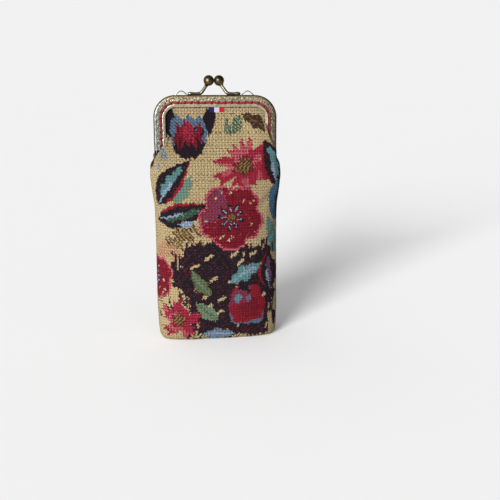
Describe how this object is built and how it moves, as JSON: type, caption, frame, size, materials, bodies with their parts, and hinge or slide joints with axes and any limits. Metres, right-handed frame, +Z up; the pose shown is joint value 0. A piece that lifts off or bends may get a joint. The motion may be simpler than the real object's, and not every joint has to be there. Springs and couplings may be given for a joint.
{
  "type": "glasses case",
  "caption": "Soft padded glasses case: a fabric pouch sewn into a hinged brass clasp frame that opens at the top and closes with two kiss-lock balls.",
  "frame": {"origin": "middle of the base, on the table", "axes": "+Z up, +X to the right as the front is seen, +Y from the front to the back"},
  "size_m": [0.0936, 0.034, 0.1852],
  "materials": {
    "frame_brass": "antique plated, finely embossed, satin",
    "clasp_brass": "dark antique plated, semi-gloss",
    "tapestry": "woven floral tapestry",
    "lining_cloth": "plain soft weave",
    "padding_felt": "needled felt",
    "red_thread": "twisted waxed thread",
    "ribbon": "ribbed woven ribbon with three plain stripes"
  },
  "bodies": {
    "pouch": {"front_fabric_lower": "tapestry", "back_fabric_lower": "tapestry", "front_padding": "padding_felt", "back_padding": "padding_felt", "front_lining_lower": "lining_cloth", "back_lining_lower": "lining_cloth", "left_hinge_rivet": "clasp_brass", "right_hinge_rivet": "clasp_brass"},
    "front_half": {"front_frame": "frame_brass", "front_clasp_arm": "clasp_brass", "front_clasp_ball": "clasp_brass", "front_stitch_thread": "red_thread", "front_fabric_upper": "tapestry", "front_lining_upper": "lining_cloth", "ribbon_tab": "ribbon"},
    "back_half": {"back_frame": "frame_brass", "back_clasp_arm": "clasp_brass", "back_clasp_ball": "clasp_brass", "back_stitch_thread": "red_thread", "back_fabric_upper": "tapestry", "back_lining_upper": "lining_cloth", "left_chain_loop": "clasp_brass", "right_chain_loop": "clasp_brass"}
  },
  "joints": [
    {"name": "front_open", "type": "hinge", "parent": "pouch", "child": "front_half", "pos_m": [0, 0, 0.131], "axis": [1, 0, 0], "range_deg": [0, 50]},
    {"name": "back_open", "type": "hinge", "parent": "pouch", "child": "back_half", "pos_m": [0, 0, 0.131], "axis": [-1, 0, 0], "range_deg": [0, 50]}
  ],
  "couplings": [
    {"joint": "back_open", "follows": "front_open", "ratio": 1}
  ]
}
